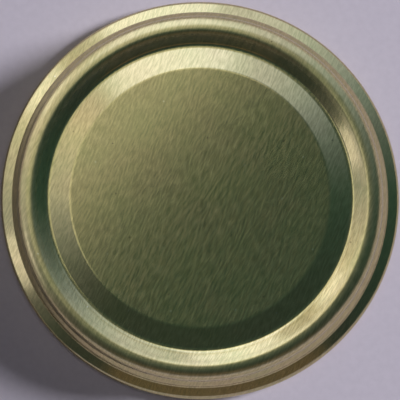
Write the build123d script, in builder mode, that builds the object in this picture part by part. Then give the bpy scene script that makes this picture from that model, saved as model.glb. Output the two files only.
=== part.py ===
from build123d import *
from math import copysign, cos, degrees, pi, radians, sin, tan
import os

os.makedirs("parts", exist_ok=True)

# A four-lug twist-off lid for a 66 mm jar finish, lying on its rolled edge with the panel up.
# Origin: centre of the circle on which the rolled edge rests. +Z points out of the panel.
# All sizes are in millimetres, angles in degrees, and radii are to the outer face of the sheet.

# Sheet and overall size
sheet = 0.18
lid_diameter = 70.2
lid_height = 10.0

# Rolled edge: the sheet turns outward, down and back inward, and its end tucks inside the roll
roll_radius = 1.2
roll_inner_radius = 1.0
tuck_gap = 0.27
tuck_turn = 90.0
tuck_end_radius = 0.75

# Skirt: a flare onto the roll, a wide part round the jar threads, a soft step, and a neck above
flare_slope = 30.0
flare_width = 1.55
flare_bend = 0.45
skirt_taper = 0.15
step_width = 0.8
step_height = 1.1
step_bend = 0.8
neck_taper = 0.15
neck_depth = 3.6

# Rim: the shoulder, a rounded crest and a sloping inner wall
shoulder_bend = 2.2
crest_width = 0.1
crest_bend = 1.3
wall_slope = 41.0
wall_foot_bend = 0.9

# Panel: a narrow flat groove, a shallow cone that rises inward, and a flat centre disc
groove_depth = 1.9
groove_width = 0.6
cone_width = 3.65
cone_rise = 1.0
cone_bend = 1.0
disc_bend = 1.6

# Lugs: the roll pressed flat and inward, to hook under the jar threads
lug_count = 4
lug_reach = 3.35
lug_lift = 0.1
lug_corner_turn = 88.0
lug_floor_turn = 7.0
lug_fold_radius = 0.5
lug_fold_turn = 172.0
lug_return_turn = 10.0
lug_return_length = 1.0
lug_full_arc = 10.0
lug_ramp_arc = 7.0
ramp_stations = 6
seam_tolerance = 0.0001

# Sealing compound, flowed into the channel under the rim
ring_width = 3.75
ring_depth = 1.15
ring_edge_bend = 0.15
ring_creep = 0.45
ring_creep_bend = 0.8

# Radii, from the rolled edge inward
lid_radius = lid_diameter / 2
roll_centre_radius = lid_radius - roll_radius
flare_foot_radius = roll_centre_radius + roll_radius * sin(radians(flare_slope))
skirt_foot_radius = flare_foot_radius - flare_width
skirt_head_radius = skirt_foot_radius - skirt_taper
neck_radius = skirt_head_radius - step_width
shoulder_radius = neck_radius - neck_taper
wall_head_radius = shoulder_radius - shoulder_bend - crest_width - crest_bend * tan(radians(wall_slope / 2))
wall_foot_radius = wall_head_radius - groove_depth / tan(radians(wall_slope))
cone_foot_radius = wall_foot_radius - groove_width
disc_radius = cone_foot_radius - cone_width
ring_inner_radius = shoulder_radius - ring_width
ring_creep_radius = neck_radius - sheet - ring_creep

# Heights
flare_foot_height = roll_radius + roll_radius * cos(radians(flare_slope))
skirt_foot_height = flare_foot_height + flare_width * tan(radians(flare_slope))
neck_foot_height = lid_height - neck_depth
skirt_head_height = neck_foot_height - step_height
groove_height = lid_height - groove_depth
disc_height = groove_height + cone_rise
ring_face_height = lid_height - sheet - ring_depth

# Corners of the sheet's outer face, from the panel's centre to the start of the roll, and their bends
skin_corners = [
    Vector(0, disc_height),
    Vector(disc_radius, disc_height),
    Vector(cone_foot_radius, groove_height),
    Vector(wall_foot_radius, groove_height),
    Vector(wall_head_radius, lid_height),
    Vector(shoulder_radius, lid_height),
    Vector(neck_radius, neck_foot_height),
    Vector(skirt_head_radius, skirt_head_height),
    Vector(skirt_foot_radius, skirt_foot_height),
    Vector(flare_foot_radius, flare_foot_height),
]
skin_bends = [
    disc_bend,
    cone_bend,
    wall_foot_bend,
    crest_bend,
    shoulder_bend,
    step_bend,
    step_bend,
    flare_bend,
]

# The same strip of metal forms the roll and the lugs, as four bends that follow each other.
# Each bend is a turn and a length along the outer face. The roll tucks away what the lug needs.
lug_half_arc = lug_full_arc / 2 + lug_ramp_arc
lug_turns = [lug_corner_turn, lug_floor_turn, lug_fold_turn, lug_return_turn]
lug_corner_length = radians(lug_corner_turn) * (roll_radius - lug_lift)
lug_floor_length = lug_reach - (roll_radius - lug_lift) - lug_fold_radius
lug_fold_length = radians(lug_fold_turn) * lug_fold_radius
lug_lengths = [lug_corner_length, lug_floor_length, lug_fold_length, lug_return_length]
tuck_radius = 2 * roll_radius - sheet - tuck_gap - roll_inner_radius
roll_quarter_length = radians(90) * roll_radius
roll_inner_length = radians(90) * roll_inner_radius
tuck_length = radians(tuck_turn) * tuck_radius
tuck_end_length = sum(lug_lengths) - roll_quarter_length - roll_inner_length - tuck_length
tuck_end_turn = degrees(tuck_end_length / tuck_end_radius)
roll_turns = [90, 90, tuck_turn, tuck_end_turn]
roll_lengths = [roll_quarter_length, roll_inner_length, tuck_length, tuck_end_length]


def bend_chain(share, inset):
    """Four bends from the roll's widest circle on: a plain roll at share 0, a lug at share 1."""
    spot = (lid_radius - inset, roll_radius)
    heading = (0, -1)
    for turn_0, turn_1, length_0, length_1 in zip(roll_turns, lug_turns, roll_lengths, lug_lengths):
        turn = turn_0 + share * (turn_1 - turn_0)
        length = length_0 + share * (length_1 - length_0)
        bend = JernArc(spot, heading, length / radians(turn) - inset, -turn)
        spot = bend @ 1
        heading = bend % 1
    return spot


def strip_section(share):
    """Section of the rolled strip, with its outer face, inner face and two ends."""
    outer_end = bend_chain(share, 0)
    inner_end = bend_chain(share, sheet)
    Line(outer_end, inner_end)
    Line((lid_radius, roll_radius), (lid_radius - sheet, roll_radius))


def sheet_line(inset):
    """Line through the drawn sheet, a given depth below its outer face."""
    corners = [skin_corners[0] - Vector(0, inset)]
    bends = []
    for before, corner, after, bend in zip(skin_corners, skin_corners[1:], skin_corners[2:], skin_bends):
        arrive = (corner - before).normalized()
        leave = (after - corner).normalized()
        inward = Vector(arrive.Y + leave.Y, -arrive.X - leave.X)
        corners.append(corner + inward * (inset / (1 + arrive.dot(leave))))
        bends.append(bend + copysign(inset, arrive.cross(leave).Z))
    last_run = (skin_corners[-1] - skin_corners[-2]).normalized()
    corners.append(skin_corners[-1] + Vector(last_run.Y, -last_run.X) * inset)
    FilletPolyline(*corners, radius=bends)
    return corners[0], corners[-1]


# Ribbon: the drawn sheet from the panel's centre to the roll's widest circle
with BuildPart() as ribbon:
    with BuildSketch(Plane.XZ):
        with BuildLine():
            outer_start, outer_end = sheet_line(0)
            inner_start, inner_end = sheet_line(sheet)
            flare_heading = (cos(radians(flare_slope)), -sin(radians(flare_slope)))
            outer_turn = JernArc(outer_end, flare_heading, roll_radius, flare_slope - 90)
            inner_turn = JernArc(inner_end, flare_heading, roll_radius - sheet, flare_slope - 90)
            Line(outer_start, inner_start)
            Line(outer_turn @ 1, inner_turn @ 1)
        make_face()
    revolve(axis=Axis.Z)

# One lug: sections of the strip that ease from the roll to the flat lug and back
ramp_shares = [(1 - cos(pi * step / ramp_stations)) / 2 for step in range(ramp_stations)]
ramp_angles = [lug_ramp_arc * step / ramp_stations - lug_half_arc for step in range(ramp_stations)]
full_angles = [-lug_full_arc / 2, 0, lug_full_arc / 2]
lug_angles = ramp_angles + full_angles + [-angle for angle in reversed(ramp_angles)]
lug_shares = ramp_shares + [1, 1, 1] + list(reversed(ramp_shares))
with BuildPart() as lug:
    for angle, share in zip(lug_angles, lug_shares):
        with BuildSketch(Plane.XZ.rotated((0, 0, angle))):
            with BuildLine():
                strip_section(share)
            make_face()
    loft()

# Rolled edge: the plain roll from one lug to the next, and the lugs, all round
with BuildPart() as plain_roll:
    with BuildSketch(Plane.XZ.rotated((0, 0, lug_half_arc))):
        with BuildLine():
            strip_section(0)
        make_face()
    revolve(axis=Axis.Z, revolution_arc=360 / lug_count - 2 * lug_half_arc)

with BuildPart() as rolled_edge:
    with PolarLocations(0, lug_count):
        add(plain_roll.part)
        add(lug.part)

# Shell: one sheet, so the ribbon and its rolled edge are one solid
with BuildPart() as lid_shell:
    add(ribbon.part.fuse(rolled_edge.part, tol=seam_tolerance))

lid_shell.part.label = "lid_shell"
export_step(lid_shell.part, "parts/lid_shell.step")

# Sealing ring: the space under the sheet, cut to the compound's own outline
with BuildPart() as sealing_ring:
    with BuildSketch(Plane.XZ):
        with BuildLine():
            centre_under, edge_under = sheet_line(sheet)
            Polyline(centre_under, (0, 0), (edge_under.X, 0), edge_under)
        make_face()
        with BuildLine():
            FilletPolyline(
                (ring_inner_radius, lid_height),
                (ring_inner_radius, ring_face_height),
                (ring_creep_radius, ring_face_height),
                (neck_radius, ring_face_height - ring_creep),
                radius=[ring_edge_bend, ring_creep_bend],
            )
            Polyline(
                (neck_radius, ring_face_height - ring_creep),
                (neck_radius, lid_height),
                (ring_inner_radius, lid_height),
            )
        make_face(mode=Mode.INTERSECT)
    revolve(axis=Axis.Z)

sealing_ring.part.label = "sealing_ring"
export_step(sealing_ring.part, "parts/sealing_ring.step")
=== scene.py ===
from math import acos, atan2, ceil, copysign, cos, degrees, pi, radians, sin, tan

import bmesh
import bpy
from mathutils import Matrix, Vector


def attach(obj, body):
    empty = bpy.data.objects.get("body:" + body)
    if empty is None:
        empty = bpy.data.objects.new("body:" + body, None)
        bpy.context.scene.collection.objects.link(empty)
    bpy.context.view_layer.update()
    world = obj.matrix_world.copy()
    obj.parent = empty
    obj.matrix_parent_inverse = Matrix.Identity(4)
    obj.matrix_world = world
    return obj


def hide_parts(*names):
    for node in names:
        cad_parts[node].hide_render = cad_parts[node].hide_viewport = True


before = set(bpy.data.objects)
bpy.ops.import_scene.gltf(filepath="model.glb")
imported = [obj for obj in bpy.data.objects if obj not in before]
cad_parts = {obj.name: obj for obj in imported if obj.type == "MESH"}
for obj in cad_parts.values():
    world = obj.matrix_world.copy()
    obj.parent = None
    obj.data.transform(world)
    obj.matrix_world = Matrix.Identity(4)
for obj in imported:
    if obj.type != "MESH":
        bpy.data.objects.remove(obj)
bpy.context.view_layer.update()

# A four-lug twist-off lid for a glass jar, lying on its rolled edge with the panel up.
# +Z points out of the panel. Sizes are in millimetres, and radii are to the sheet's outer face,
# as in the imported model. Each finished mesh is turned to metres.

# Drawn sheet
# One disc of tinplate 0.18 mm thick, lacquered flat and then drawn in a press to a panel, a rim
# and a skirt. Its section is a line of straight runs and bends, which is turned about the axis.
sheet = 0.18
lid_radius = 35.1
lid_height = 10.0
roll_radius = 1.2
flare_slope = 30.0
flare_foot_radius = lid_radius - roll_radius * (1 - sin(radians(flare_slope)))
flare_foot_height = roll_radius * (1 + cos(radians(flare_slope)))
skirt_foot_radius = flare_foot_radius - 1.55
skirt_foot_height = flare_foot_height + 1.55 * tan(radians(flare_slope))
skirt_head_radius = skirt_foot_radius - 0.15
neck_radius = skirt_head_radius - 0.8
shoulder_radius = neck_radius - 0.15
shoulder_bend = 2.2
crest_bend = 1.3
wall_slope = 41.0
groove_height = 8.1
disc_height = 9.1
wall_head_radius = shoulder_radius - shoulder_bend - 0.1 - crest_bend * tan(radians(wall_slope / 2))
wall_foot_radius = wall_head_radius - (lid_height - groove_height) / tan(radians(wall_slope))
cone_foot_radius = wall_foot_radius - 0.6
disc_radius = cone_foot_radius - 3.65

# Each row is a corner's radius and height, and the radius of the bend that rounds it.
skin = [
    (0, disc_height, 0),
    (disc_radius, disc_height, 1.6),
    (cone_foot_radius, groove_height, 1.0),
    (wall_foot_radius, groove_height, 0.9),
    (wall_head_radius, lid_height, crest_bend),
    (shoulder_radius, lid_height, shoulder_bend),
    (neck_radius, 6.4, 0.8),
    (skirt_head_radius, 5.3, 0.8),
    (skirt_foot_radius, skirt_foot_height, 0.45),
    (flare_foot_radius, flare_foot_height, 0),
]
bend_step = 6.5
run_margin = 0.05


def extend(bm, point, target):
    """Draws one straight edge from a point of the section to the target."""
    tip = bmesh.ops.extrude_vert_indiv(bm, verts=[point])["verts"][0]
    bmesh.ops.translate(bm, vec=target - tip.co, verts=[tip])
    return tip


def straight_run(bm, point, target):
    """Draws a straight run, with a short edge at each end that keeps its shading flat."""
    start = point.co.copy()
    margin = run_margin * (target - start).normalized()
    if (target - start).length > 4 * run_margin:
        point = extend(bm, point, start + margin)
        point = extend(bm, point, target - margin)
    return extend(bm, point, target)


def bend(bm, point, heading, radius, turn, steps=None):
    """Draws a bend from a point of the section. A positive turn goes clockwise, with +X to the right."""
    axis = Vector((0, copysign(1, turn), 0))
    centre = point.co - radius * heading.cross(axis)
    steps = steps or ceil(abs(turn) / bend_step)
    spun = bmesh.ops.spin(bm, geom=[point], cent=centre, axis=axis, angle=radians(abs(turn)), steps=steps)
    return spun["geom_last"][0]


def rounded_line(bm, rows):
    """Draws the section through the rows' corners, each rounded by its own bend."""
    corners = [Vector((radius, 0, height)) for radius, height, bend_radius in rows]
    point = bm.verts.new(corners[0])
    for before, corner, after, row in zip(corners, corners[1:], corners[2:], rows[1:]):
        arrive = (corner - before).normalized()
        leave = (after - corner).normalized()
        turn = copysign(degrees(arrive.angle(leave)), arrive.cross(leave).y)
        margin = row[2] * tan(radians(abs(turn) / 2))
        point = straight_run(bm, point, corner - margin * arrive)
        point = bend(bm, point, arrive, row[2], turn)
    return straight_run(bm, point, corners[-1])


section = bmesh.new()
ribbon_end = rounded_line(section, skin)
ribbon_end = bend(
    section,
    ribbon_end,
    Vector((cos(radians(flare_slope)), 0, -sin(radians(flare_slope)))),
    roll_radius,
    90 - flare_slope,
)
ribbon_count = len(section.verts)

# Rolled edge and lugs
# The sheet's raw edge is rolled under, out of reach. Four lugs are pressed flat out of the roll and
# inward, to hook under the jar's threads. Both are one strip of four bends, each a turn and a length.
roll_inner_radius = 1.0
roll_inside_radius = 0.95
roll_end_radius = 0.75
lug_corner_radius = 1.1
lug_fold_radius = 0.5
lug_turns = [88, 7, 172, 10]
lug_lengths = [
    radians(lug_turns[0]) * lug_corner_radius,
    3.35 - lug_corner_radius - lug_fold_radius,
    radians(lug_turns[2]) * lug_fold_radius,
    1.0,
]
roll_lengths = [
    radians(90) * roll_radius,
    radians(90) * roll_inner_radius,
    radians(90) * roll_inside_radius,
]
roll_lengths.append(sum(lug_lengths) - sum(roll_lengths))
roll_turns = [90, 90, 90, degrees(roll_lengths[3] / roll_end_radius)]
lug_full_half = 5.0
lug_ramp = 7.0
strip_steps = 14
meridians = 320

heading = Vector((0, 0, -1))
for turn, length in zip(roll_turns, roll_lengths):
    ribbon_end = bend(section, ribbon_end, heading, length / radians(turn), turn, strip_steps)
    heading = Vector((heading.x * cos(radians(turn)) + heading.z * sin(radians(turn)), 0,
                      heading.z * cos(radians(turn)) - heading.x * sin(radians(turn))))


def strip_point(share, place):
    """Radius and height of a place along the strip, 0 to 4, from a plain roll to a full lug."""
    radius, height, angle = lid_radius, roll_radius, -90.0
    for turn_0, turn_1, length_0, length_1 in zip(roll_turns, lug_turns, roll_lengths, lug_lengths):
        part = min(max(place, 0), 1)
        turn = turn_0 + share * (turn_1 - turn_0)
        bend_radius = (length_0 + share * (length_1 - length_0)) / radians(turn)
        end = angle - turn * part
        radius += bend_radius * (sin(radians(angle)) - sin(radians(end)))
        height += bend_radius * (cos(radians(end)) - cos(radians(angle)))
        angle = end
        place -= 1
    return radius, height


def lug_share(azimuth):
    """0 on the plain roll and 1 on a lug, with a smooth ramp at each end of the lug."""
    off = abs((degrees(azimuth) + 45) % 90 - 45)
    part = min(max((off - lug_full_half) / lug_ramp, 0), 1)
    return (1 + cos(pi * part)) / 2


# The places along the section go into layers, which the turn about the axis copies.
run_layer = section.verts.layers.float.new("run")
strip_layer = section.verts.layers.float.new("strip")
section.verts.ensure_lookup_table()
for index in range(1, len(section.verts)):
    point = section.verts[index]
    step = (point.co - section.verts[index - 1].co).length
    point[run_layer] = section.verts[index - 1][run_layer] + step
    point[strip_layer] = max(index - ribbon_count + 1, 0) / strip_steps
rim_runs = [point[run_layer] for point in section.verts if point.co.z > lid_height - 0.75]
bmesh.ops.spin(
    section,
    geom=section.verts[:] + section.edges[:],
    cent=(0, 0, 0),
    axis=(0, 0, 1),
    angle=2 * pi,
    steps=meridians,
    use_merge=True,
)
bmesh.ops.remove_doubles(section, verts=section.verts, dist=1e-4)
bmesh.ops.recalc_face_normals(section, faces=section.faces)
for point in section.verts:
    if point[strip_layer] > 0:
        azimuth = atan2(point.co.y, point.co.x)
        radius, height = strip_point(lug_share(azimuth), point[strip_layer])
        point.co = (radius * cos(azimuth), radius * sin(azimuth), height)

# The flat blank's own plan is the sheet's UV map, so the rolling grain runs straight across the
# panel and on down the skirt, as it does on a lid that is printed flat and drawn afterwards.
blank_map = section.loops.layers.uv.new("blank")
for face in section.faces:
    for loop in face.loops:
        azimuth = atan2(loop.vert.co.y, loop.vert.co.x)
        run = loop.vert[run_layer]
        loop[blank_map].uv = (run * cos(azimuth) / 1000, run * sin(azimuth) / 1000)
outer_faces = set(section.faces)
bmesh.ops.solidify(section, geom=section.faces[:], thickness=sheet)
inner_side, cut_edge = 1, 2
for face in section.faces:
    if face not in outer_faces:
        face.material_index = inner_side
        if len({round(vert[strip_layer], 3) for vert in face.verts}) == 1:
            face.material_index = cut_edge


def finished(name, bm, sharp_angle=40):
    """Makes an object of a mesh in millimetres, smooth but for its sharp edges."""
    bmesh.ops.scale(bm, vec=(0.001, 0.001, 0.001), verts=bm.verts)
    for face in bm.faces:
        face.smooth = True
    mesh = bpy.data.meshes.new(name)
    bm.to_mesh(mesh)
    bm.free()
    mesh.set_sharp_from_angle(angle=radians(sharp_angle))
    piece = bpy.data.objects.new(name, mesh)
    bpy.context.scene.collection.objects.link(piece)
    return piece


def srgb(code):
    """A colour as written in sRGB hex, turned to the linear values that shaders take."""
    parts = [int(code[place:place + 2], 16) / 255 for place in (0, 2, 4)]
    return [part / 12.92 if part <= 0.04045 else ((part + 0.055) / 1.055) ** 2.4 for part in parts] + [1]


def add(tree, kind, values=None, stops=(), **settings):
    """Adds a node. A value is a number, a colour, or a node or output to link. Stops are a ramp's."""
    node = tree.nodes.new(kind)
    for name, setting in settings.items():
        setattr(node, name, setting)
    for name, value in (values or {}).items():
        if isinstance(value, bpy.types.Node):
            value = value.outputs[0]
        if isinstance(value, bpy.types.NodeSocket):
            tree.links.new(value, node.inputs[name])
        else:
            node.inputs[name].default_value = value
    for _ in stops[2:]:
        node.color_ramp.elements.new(0.5)
    for element, (place, colour) in zip(node.color_ramp.elements if stops else (), stops):
        element.position = place
        element.color = colour
    return node


def new_material(name, piece):
    """Puts a new material on a piece, and returns its empty node tree."""
    made = bpy.data.materials.new(name)
    made.use_nodes = True
    made.node_tree.nodes.clear()
    piece.data.materials.append(made)
    return made.node_tree


lid_sheet = finished("lid_sheet", section)
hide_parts("lid_shell")
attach(lid_sheet, "root")

# Gold lacquer over tinplate: a bright tinned sheet with the steel mill's straight rolling grain,
# under a clear, slightly yellow baked lacquer. The eye sees a satin gold mirror with short fine
# streaks that all run one way, lighter and darker and slightly tipped, and a faint green and brown
# drift where the lacquer lies thinner or thicker. The rim's tight bends are drawn duller, and a few
# specks of dust were baked into the lacquer.
grain_direction = 67.0
drift_size = 9.0
speck_spacing = 9.0
speck_radius = 0.14
map_span = 40.0


def streaks(tree, place, length, width):
    """Adds noise that is drawn out along the grain, at a length and width in millimetres."""
    along_grain = add(
        tree,
        "ShaderNodeMapping",
        {
            "Vector": place,
            "Rotation": (0, 0, radians(grain_direction)),
            "Scale": (length / 1000, width / 1000, length / 1000),
        },
        vector_type="TEXTURE",
    )
    return add(
        tree, "ShaderNodeTexNoise", {"Vector": along_grain, "Scale": 1.0, "Detail": 2.0, "Roughness": 0.55}
    )


tree = new_material("gold_lacquered_tinplate", lid_sheet)
blank = add(tree, "ShaderNodeUVMap", uv_map="blank")
grain = streaks(tree, blank, 1.7, 0.32)
grain_share = add(tree, "ShaderNodeMapRange", {"Value": grain, "From Min": 0.36, "From Max": 0.64})
drift = add(tree, "ShaderNodeTexNoise", {"Vector": blank, "Scale": 1000 / drift_size})
light_gold = add(
    tree,
    "ShaderNodeValToRGB",
    {"Fac": drift},
    [(0.35, srgb("D1C38B")), (0.5, srgb("D4C48D")), (0.65, srgb("D5C38E"))],
)
dark_gold = add(
    tree,
    "ShaderNodeValToRGB",
    {"Fac": drift},
    [(0.35, srgb("B6AE78")), (0.5, srgb("B9AD79")), (0.65, srgb("BAAB79"))],
)
sheet_tint = add(
    tree, "ShaderNodeMixRGB", {"Fac": grain_share, "Color1": dark_gold, "Color2": light_gold}
)
specks = add(
    tree,
    "ShaderNodeTexVoronoi",
    {"Vector": blank, "Scale": 1000 / speck_spacing},
    voronoi_dimensions="2D",
)
speck_share = add(
    tree,
    "ShaderNodeMapRange",
    {
        "Value": specks.outputs["Distance"],
        "From Min": 0.7 * speck_radius / speck_spacing,
        "From Max": 1.3 * speck_radius / speck_spacing,
        "To Min": 0.6,
        "To Max": 0.0,
    },
)
speck_tint = add(
    tree,
    "ShaderNodeValToRGB",
    {"Fac": specks.outputs["Color"]},
    [(0.3, srgb("4A3F28")), (0.45, srgb("BEB27D")), (0.62, srgb("BEB27D")), (0.75, srgb("EFE8CC"))],
)
tint = add(
    tree, "ShaderNodeMixRGB", {"Fac": speck_share, "Color1": sheet_tint, "Color2": speck_tint}
)

# The rim's part of the sheet is found by the run along the section from the panel's centre, and
# is dull by the bend's stretch. A ramp takes it as a share of the map's whole span.
run = add(tree, "ShaderNodeVectorMath", {0: blank}, operation="LENGTH").outputs["Value"]
run_share = add(tree, "ShaderNodeMath", {0: run, 1: 1000 / map_span}, operation="MULTIPLY")
rim_share = add(
    tree,
    "ShaderNodeValToRGB",
    {"Fac": run_share},
    [
        ((min(rim_runs) - 0.8) / map_span, (0, 0, 0, 1)),
        (min(rim_runs) / map_span, (1, 1, 1, 1)),
        (max(rim_runs) / map_span, (1, 1, 1, 1)),
        ((max(rim_runs) + 1.4) / map_span, (0, 0, 0, 1)),
    ],
)
sheet_haze = add(
    tree,
    "ShaderNodeMapRange",
    {
        "Value": streaks(tree, blank, 3.0, 0.6),
        "From Min": 0.3,
        "From Max": 0.7,
        "To Min": 0.15,
        "To Max": 0.22,
    },
)
haze = add(
    tree, "ShaderNodeMath", {0: rim_share, 1: 0.13, 2: sheet_haze}, operation="MULTIPLY_ADD"
)
tipped = add(tree, "ShaderNodeBump", {"Height": grain, "Strength": 0.16, "Distance": 0.00002})
lacquer = add(
    tree,
    "ShaderNodeBsdfPrincipled",
    {
        "Base Color": tint,
        "Metallic": 1.0,
        "Roughness": haze,
        "Coat Weight": 0.4,
        "Coat Roughness": 0.1,
        "Normal": tipped,
    },
)
add(tree, "ShaderNodeOutputMaterial", {"Surface": lacquer})

# Inside lacquer: a thicker coat of the same kind, a shade browner and duller, over the same grain.
# The eye sees a soft gold with faint streaks, and cloudy patches where the coat ran thicker.
tree = new_material("inside_gold_lacquer", lid_sheet)
place = add(tree, "ShaderNodeTexCoord").outputs["Object"]
grain = streaks(tree, place, 2.4, 0.4)
grain_share = add(tree, "ShaderNodeMapRange", {"Value": grain, "From Min": 0.32, "From Max": 0.68})
cloud = add(tree, "ShaderNodeTexNoise", {"Vector": place, "Scale": 1000 / 7.0})
dark_gold = add(
    tree, "ShaderNodeValToRGB", {"Fac": cloud}, [(0.35, srgb("B9A469")), (0.65, srgb("CBB67C"))]
)
light_gold = add(
    tree, "ShaderNodeValToRGB", {"Fac": cloud}, [(0.35, srgb("C6B177")), (0.65, srgb("D3BF87"))]
)
tint = add(
    tree, "ShaderNodeMixRGB", {"Fac": grain_share, "Color1": dark_gold, "Color2": light_gold}
)
haze = add(
    tree,
    "ShaderNodeMapRange",
    {"Value": cloud, "From Min": 0.3, "From Max": 0.7, "To Min": 0.28, "To Max": 0.38},
)
tipped = add(tree, "ShaderNodeBump", {"Height": grain, "Strength": 0.16, "Distance": 0.00002})
lacquer = add(
    tree,
    "ShaderNodeBsdfPrincipled",
    {"Base Color": tint, "Metallic": 1.0, "Roughness": haze, "Normal": tipped},
)
add(tree, "ShaderNodeOutputMaterial", {"Surface": lacquer})

# Raw cut edge: bare steel where the disc was sheared from the sheet. The eye sees a grey line with
# fine upright shear marks, half of it bright and half torn and dull.
tree = new_material("sheared_steel_edge", lid_sheet)
place = add(tree, "ShaderNodeTexCoord").outputs["Object"]
torn = add(tree, "ShaderNodeTexNoise", {"Vector": place, "Scale": 1000 / 0.12, "Detail": 3.0})
tint = add(
    tree, "ShaderNodeValToRGB", {"Fac": torn}, [(0.35, srgb("777571")), (0.65, srgb("A09F9B"))]
)
haze = add(
    tree,
    "ShaderNodeMapRange",
    {"Value": torn, "From Min": 0.3, "From Max": 0.7, "To Min": 0.35, "To Max": 0.6},
)
ragged = add(tree, "ShaderNodeBump", {"Height": torn, "Strength": 0.4, "Distance": 0.00002})
steel = add(
    tree,
    "ShaderNodeBsdfPrincipled",
    {"Base Color": tint, "Metallic": 1.0, "Roughness": haze, "Normal": ragged},
)
add(tree, "ShaderNodeOutputMaterial", {"Surface": steel})

# Sealing ring
# Foamed vinyl compound, flowed as a paste into the channel under the rim and baked there. It wets
# the sheet above it. The real ring's face shows a faint swell where the two ends of the flow met,
# which this even turned section leaves out.
ring_inner_radius = shoulder_radius - 3.75
ring_face_height = lid_height - sheet - 1.15
ring = bmesh.new()
slope = radians(wall_slope)
wall_normal = Vector((sin(slope), 0, -cos(slope)))
wall_point = Vector((wall_head_radius, 0, lid_height)) + sheet * wall_normal
under_wall = wall_point.z - (wall_point.x - ring_inner_radius) * tan(slope)
crest_inner = crest_bend - sheet
shoulder_inner = shoulder_bend - sheet
creep_height = 8.45
centre_height = lid_height - shoulder_bend
creep_turn = degrees(acos((creep_height - centre_height) / shoulder_inner))
start = ring.verts.new((ring_inner_radius, 0, under_wall))
climb = Vector((cos(slope), 0, sin(slope)))
crest_start_radius = wall_head_radius - crest_bend * tan(slope / 2) * cos(slope) + sheet * sin(slope)
crest_start = Vector((crest_start_radius, 0, under_wall + (crest_start_radius - ring_inner_radius) * tan(slope)))
tip = straight_run(ring, start, crest_start)
tip = bend(ring, tip, climb, crest_inner, wall_slope)
tip = extend(ring, tip, Vector((shoulder_radius - shoulder_bend, 0, tip.co.z)))
tip = bend(ring, tip, Vector((1, 0, 0)), shoulder_inner, creep_turn)
creep = tip.co.copy()
tip = extend(ring, tip, Vector((creep.x - 0.2, 0, creep.z + 0.14)))
tip = extend(ring, tip, Vector((creep.x - 0.42, 0, ring_face_height)))
tip = extend(ring, tip, Vector((ring_inner_radius + 0.15, 0, ring_face_height)))
tip = bend(ring, tip, Vector((-1, 0, 0)), 0.15, 90, 4)
ring.edges.new((tip, start))
bmesh.ops.spin(
    ring,
    geom=ring.verts[:] + ring.edges[:],
    cent=(0, 0, 0),
    axis=(0, 0, 1),
    angle=2 * pi,
    steps=180,
    use_merge=True,
)
bmesh.ops.remove_doubles(ring, verts=ring.verts, dist=1e-4)
bmesh.ops.recalc_face_normals(ring, faces=ring.faces)
compound = finished("compound_ring", ring)
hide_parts("sealing_ring")
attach(compound, "root")

# Baked vinyl compound: soft foamed plastic. The eye sees a warm off-white band with a low sheen,
# fine pores, and slow cloudy changes of tone where the paste flowed thicker.
tree = new_material("baked_vinyl_compound", compound)
place = add(tree, "ShaderNodeTexCoord").outputs["Object"]
swell = add(tree, "ShaderNodeTexNoise", {"Vector": place, "Scale": 1000 / 9.0})
tint = add(
    tree,
    "ShaderNodeValToRGB",
    {"Fac": swell},
    [(0.35, srgb("DAD0B4")), (0.5, srgb("E1D8BF")), (0.65, srgb("E6DEC8"))],
)
pores = add(tree, "ShaderNodeTexNoise", {"Vector": place, "Scale": 1000 / 0.5, "Detail": 3.0})
haze = add(
    tree,
    "ShaderNodeMapRange",
    {"Value": pores, "From Min": 0.3, "From Max": 0.7, "To Min": 0.42, "To Max": 0.6},
)
pitted = add(tree, "ShaderNodeBump", {"Height": pores, "Strength": 0.3, "Distance": 0.00005})
vinyl = add(
    tree, "ShaderNodeBsdfPrincipled", {"Base Color": tint, "Roughness": haze, "Normal": pitted}
)
add(tree, "ShaderNodeOutputMaterial", {"Surface": vinyl})

# Floor
# A plain pale sheet of paper, much larger than the lid, which takes its shadow.
table = bmesh.new()
bmesh.ops.create_grid(table, x_segments=1, y_segments=1, size=3000)
floor = finished("floor", table)

# Matt paper: pale, faintly pink and grey, with a fine even tooth and no sheen.
tree = new_material("matt_paper", floor)
place = add(tree, "ShaderNodeTexCoord").outputs["Object"]
tooth = add(tree, "ShaderNodeTexNoise", {"Vector": place, "Scale": 1000 / 1.2, "Detail": 3.0})
tint = add(
    tree, "ShaderNodeValToRGB", {"Fac": tooth}, [(0.3, srgb("DED4D9")), (0.7, srgb("E3D9DE"))]
)
rough = add(tree, "ShaderNodeBump", {"Height": tooth, "Strength": 0.1, "Distance": 0.00005})
paper = add(
    tree,
    "ShaderNodeBsdfPrincipled",
    {"Base Color": tint, "Roughness": 0.9, "Specular IOR Level": 0.1, "Normal": rough},
)
add(tree, "ShaderNodeOutputMaterial", {"Surface": paper})

# Light
# Soft panels round the table, by their azimuth clockwise from +Y and their elevation. The large
# one behind the lid is the key, and the right and the front stay dark, so the gold has depth. Only
# the gold mirrors the panels, so none of them leaves an edge of light on the paper.


def toward(azimuth, elevation):
    """Unit vector to a place in the studio. Azimuth is clockwise from +Y, seen from above."""
    flat = cos(radians(elevation))
    return Vector((sin(radians(azimuth)) * flat, cos(radians(azimuth)) * flat, sin(radians(elevation))))


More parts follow.
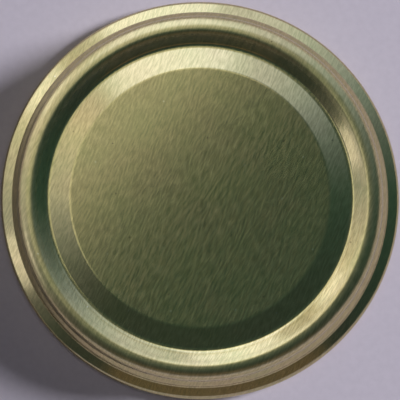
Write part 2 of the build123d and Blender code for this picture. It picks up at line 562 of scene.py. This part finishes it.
lid_middle = Vector((0, 0, 0.005))
panels = [
    ("back_window", -12, 32, 0.9, 0.50, 1.12, (0.88, 1.0, 1.4), 0.72),
    ("left_window", -52, 22, 0.9, 0.22, 0.62, (0.85, 1.0, 1.45), 0.55),
    ("side_lamp", -105.5, 19, 0.9, 0.24, 0.36, (1.0, 0.95, 1.1), 0.85),
    ("warm_card", 174, 29, 0.9, 1.1, 0.30, (1.0, 0.6, 0.3), 0.11),
    ("front_card", 171, 5, 0.078, 0.19, 0.017, (0.9, 0.85, 1.25), 0.42),
    ("overhead", -44, 72.4, 0.30, 0.24, 0.12, (1.0, 1.0, 0.9), 0.68),
]
for name, azimuth, elevation, distance, width, height, colour, radiance in panels:
    lamp = bpy.data.lights.new(name, "AREA")
    lamp.shape = "RECTANGLE"
    lamp.size = width
    lamp.size_y = height
    lamp.color = colour
    lamp.energy = radiance * pi * width * height
    holder = bpy.data.objects.new(name, lamp)
    holder.location = lid_middle + distance * toward(azimuth, elevation)
    holder.rotation_euler = toward(azimuth, elevation).to_track_quat("Z", "Y").to_euler()
    holder.visible_camera = False
    holder.visible_diffuse = False
    bpy.context.scene.collection.objects.link(holder)

# Two soft lamps light the paper and the compound, and the gold doesn't mirror them. The one from
# the right throws the lid's shadow toward the left, where the skirt mirrors it as thin dark lines.
for name, azimuth, elevation, distance, width, level in [
    ("ceiling_fill", 0, 89, 0.6, 0.5, 0.6),
    ("right_key", 75, 22, 2.0, 0.66, 49.0),
]:
    lamp = bpy.data.lights.new(name, "AREA")
    lamp.shape = "DISK"
    lamp.size = width
    lamp.color = (0.96, 0.98, 1.12)
    lamp.energy = level * pi * pi * (width / 2) ** 2
    holder = bpy.data.objects.new(name, lamp)
    holder.location = distance * toward(azimuth, elevation)
    holder.rotation_euler = toward(azimuth, elevation).to_track_quat("Z", "Y").to_euler()
    holder.visible_glossy = False
    holder.visible_camera = False
    bpy.context.scene.collection.objects.link(holder)

# The room's walls shade evenly from pale at the back and the left to dark green and brown at the
# right and the front, and its ceiling is dim. Each row is an azimuth and the wall's light there.
world = bpy.data.worlds.new("dim_room")
bpy.context.scene.world = world
world.use_nodes = True
world.cycles_visibility.diffuse = False
room = world.node_tree
room.nodes.clear()
direction = add(room, "ShaderNodeTexCoord").outputs["Generated"]
height = add(room, "ShaderNodeSeparateXYZ", {"Vector": direction}).outputs["Z"]
clockwise = add(
    room,
    "ShaderNodeMapping",
    {"Vector": direction, "Scale": (-1, 1, 1), "Rotation": (0, 0, radians(90))},
)
turn_share = add(room, "ShaderNodeTexGradient", {"Vector": clockwise}, gradient_type="RADIAL")
wall_lights = [
    (0, (0.78, 0.85, 1.05, 1)),
    (20, (0.85, 0.97, 1.25, 1)),
    (34, (0.64, 0.76, 1.00, 1)),
    (48, (0.34, 0.45, 0.62, 1)),
    (64, (0.14, 0.20, 0.26, 1)),
    (84, (0.035, 0.085, 0.09, 1)),
    (130, (0.03, 0.05, 0.06, 1)),
    (225, (0.04, 0.055, 0.06, 1)),
    (244, (0.13, 0.15, 0.17, 1)),
    (268, (0.46, 0.51, 0.60, 1)),
    (290, (0.82, 0.84, 0.88, 1)),
    (306, (1.08, 1.05, 1.02, 1)),
    (321, (0.70, 0.71, 0.69, 1)),
    (336, (0.95, 1.00, 1.12, 1)),
    (360, (0.78, 0.85, 1.05, 1)),
]
walls = add(
    room,
    "ShaderNodeValToRGB",
    {"Fac": turn_share.outputs["Fac"]},
    [(azimuth / 360, light) for azimuth, light in wall_lights],
)
ceiling_share = add(
    room,
    "ShaderNodeMapRange",
    {"Value": height, "From Min": sin(radians(52)), "From Max": sin(radians(78))},
    interpolation_type="SMOOTHSTEP",
)
sky = add(
    room,
    "ShaderNodeMixRGB",
    {"Fac": ceiling_share, "Color1": walls, "Color2": (0.05, 0.09, 0.095, 1)},
)
glow = add(room, "ShaderNodeBackground", {"Color": sky})
add(room, "ShaderNodeOutputWorld", {"Surface": glow})

# Camera
# It hangs above the lid, a little toward the front, at the distance of a hand-held camera.
camera_distance = 0.6
camera_elevation = 86.7
frame_radius = 199.05 / 400
camera = bpy.data.cameras.new("camera")
camera.sensor_width = 36
camera.lens = frame_radius * 36 * camera_distance / (lid_radius / 1000)
eye = bpy.data.objects.new("camera", camera)
aim = Vector((0, 0, roll_radius / 1000))
eye.location = aim + camera_distance * toward(180, camera_elevation)
eye.rotation_euler = toward(180, camera_elevation).to_track_quat("Z", "Y").to_euler()
bpy.context.scene.collection.objects.link(eye)
bpy.context.scene.camera = eye
bpy.context.scene.view_settings.view_transform = "Standard"
